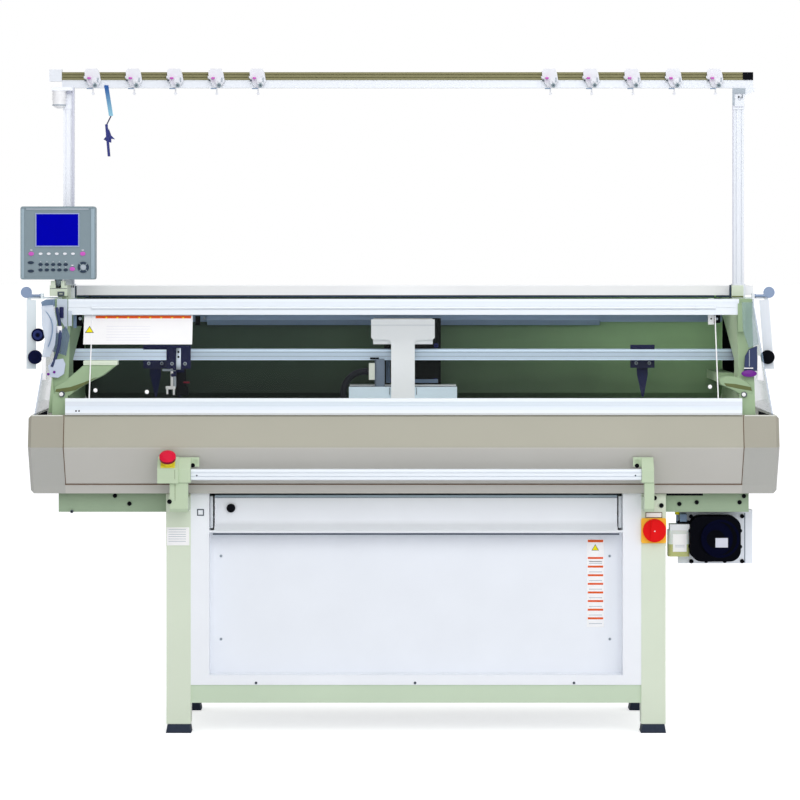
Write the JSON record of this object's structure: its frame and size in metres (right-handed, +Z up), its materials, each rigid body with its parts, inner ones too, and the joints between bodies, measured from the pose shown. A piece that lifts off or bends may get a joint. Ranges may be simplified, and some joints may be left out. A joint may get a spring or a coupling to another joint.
{
  "type": "flat knitting machine",
  "caption": "Electronic flat knitting machine: two needle beds in a V, a straddling carriage, a clear swing-up hood, a stand with cabinet, a yarn tray and a yarn stand.",
  "frame": {"origin": "on the floor, at the middle of the machine's box", "axes": "+X along the needle beds to the operator's right, -Y to the front where the operator stands, +Z up"},
  "size_m": [2.284, 0.8904, 2.004],
  "materials": {
    "green_enamel": "satin",
    "white_enamel": "satin",
    "beige_enamel": "satin",
    "bright_steel": "ground",
    "cast_body": "painted satin",
    "aluminium_profile": "anodised",
    "olive_profile": "anodised olive",
    "clear_sheet": "clear",
    "white_plastic": "moulded",
    "grey_plastic": "moulded",
    "black_plastic": "moulded",
    "red_plastic": "moulded",
    "yellow_plastic": "moulded",
    "lamp_lens": "translucent",
    "black_rubber": "matte",
    "blue_plastic": "moulded",
    "navy_metal": "satin",
    "yellow_oil": "translucent"
  },
  "bodies": {
    "machine": {"bar_bracket_left": "green_enamel", "bar_bracket_right": "green_enamel", "bed_base": "cast_body", "blower_housing": "black_plastic", "blower_plate": "bright_steel", "cabinet_panel": "white_enamel", "cabinet_shell": "white_enamel", "carriage_rails": "bright_steel", "cross_rails": "green_enamel", "drive_belt": "black_rubber", "end_casting_left": "cast_body", "end_casting_right": "cast_body", "end_cover_left": "beige_enamel", "end_cover_right": "beige_enamel", "foot_pads": "black_rubber", "front_cover": "beige_enamel", "hood_top_pane": "clear_sheet", "hood_upper_rail": "aluminium_profile", "lamp": "aluminium_profile", "main_switch_plate": "yellow_plastic", "needle_bed_front": "bright_steel", "needle_bed_rear": "bright_steel", "oil_bottle": "yellow_oil", "panel_arm": "green_enamel", "rear_cover": "green_enamel", "side_covers": "clear_sheet", "side_frame_left": "green_enamel", "side_frame_right": "green_enamel", "side_tension_plates": "white_enamel", "signal_lamp": "lamp_lens", "stand_rail": "white_plastic", "stop_ring": "yellow_plastic", "tension_units": "white_plastic", "threading_tool": "blue_plastic", "top_bar": "olive_profile", "yarn_post_left": "aluminium_profile", "yarn_post_right": "aluminium_profile", "yarn_rails": "bright_steel", "yarn_shelf": "white_enamel"},
    "flap": {"take_down_flap": "white_enamel"},
    "take_down": {"take_down_roller": "black_rubber"},
    "presser": {"presser_roller": "bright_steel"},
    "hood": {"hood_hinge_rail": "aluminium_profile", "hood_pane": "clear_sheet", "hood_lower_rail": "aluminium_profile"},
    "carriage": {"carriage_front": "white_enamel", "carriage_rear": "white_enamel", "carriage_bridge": "white_enamel", "carriage_cable": "black_rubber"},
    "carrier_front": {"yarn_carrier_front": "navy_metal"},
    "carrier_middle": {"yarn_carrier_middle": "navy_metal"},
    "carrier_rear": {"yarn_carrier_rear": "navy_metal"},
    "belt_drive": {"drive_pulley": "bright_steel"},
    "belt_idler": {"idler_pulley": "bright_steel"},
    "panel": {"control_panel": "grey_plastic"},
    "bar": {"start_bar": "aluminium_profile"},
    "stop": {"stop_button": "red_plastic"},
    "switch": {"main_switch_knob": "red_plastic"},
    "arm_left": {"side_arm_left": "black_plastic"},
    "arm_right": {"side_arm_right": "black_plastic"}
  },
  "joints": [
    {"name": "flap_hinge", "type": "hinge", "parent": "machine", "child": "flap", "pos_m": [0.055, -0.26676, 0.604], "axis": [1, 0, 0], "range_deg": [0, 60]},
    {"name": "take_down_turn", "type": "hinge", "parent": "machine", "child": "take_down", "pos_m": [0.055, -0.03776, 0.632], "axis": [1, 0, 0], "continuous": true},
    {"name": "presser_turn", "type": "hinge", "parent": "machine", "child": "presser", "pos_m": [0.055, -0.07926, 0.632], "axis": [1, 0, 0], "continuous": true},
    {"name": "hood_hinge", "type": "hinge", "parent": "machine", "child": "hood", "pos_m": [0.018, -0.26876, 1.27575], "axis": [-1, 0, 0], "range_deg": [0, 75]},
    {"name": "carriage_slide", "type": "slide", "parent": "machine", "child": "carriage", "axis": [1, 0, 0], "range_m": [-0.76, 0.76]},
    {"name": "carrier_front_slide", "type": "slide", "parent": "machine", "child": "carrier_front", "axis": [1, 0, 0], "range_m": [-0.24, 1.62]},
    {"name": "carrier_middle_slide", "type": "slide", "parent": "machine", "child": "carrier_middle", "axis": [1, 0, 0], "range_m": [-0.166, 1.694]},
    {"name": "carrier_rear_slide", "type": "slide", "parent": "machine", "child": "carrier_rear", "axis": [1, 0, 0], "range_m": [-1.668, 0.192]},
    {"name": "drive_turn", "type": "hinge", "parent": "machine", "child": "belt_drive", "pos_m": [0.958, 0.36524, 0.84], "axis": [0, 1, 0], "continuous": true},
    {"name": "idler_turn", "type": "hinge", "parent": "machine", "child": "belt_idler", "pos_m": [-0.922, 0.36524, 0.84], "axis": [0, 1, 0], "continuous": true},
    {"name": "panel_swivel", "type": "hinge", "parent": "machine", "child": "panel", "pos_m": [-1.027, -0.16776, 1.4], "axis": [0, 0, 1], "range_deg": [-45, 45]},
    {"name": "bar_turn", "type": "hinge", "parent": "machine", "child": "bar", "pos_m": [0.055, -0.39176, 0.7825], "axis": [1, 0, 0], "range_deg": [-10, 10]},
    {"name": "stop_push", "type": "slide", "parent": "machine", "child": "stop", "axis": [0, 0.7071, -0.7071], "range_m": [0, 0.0048], "stiffness_N_per_m": 2000},
    {"name": "switch_turn", "type": "hinge", "parent": "machine", "child": "switch", "pos_m": [0.7695, -0.29476, 0.6085], "axis": [0, 1, 0], "range_deg": [0, 90]},
    {"name": "arm_left_swing", "type": "hinge", "parent": "machine", "child": "arm_left", "pos_m": [-1.095, -0.16676, 1.311], "axis": [1, 0, 0], "range_deg": [-60, 30]},
    {"name": "arm_right_swing", "type": "hinge", "parent": "machine", "child": "arm_right", "pos_m": [1.095, -0.16676, 1.311], "axis": [1, 0, 0], "range_deg": [-60, 30]}
  ],
  "couplings": [
    {"joint": "presser_turn", "follows": "take_down_turn", "ratio": -1.6667},
    {"joint": "drive_turn", "follows": "carriage_slide", "rad_per_m": 25.094},
    {"joint": "idler_turn", "follows": "carriage_slide", "rad_per_m": 25.094}
  ]
}
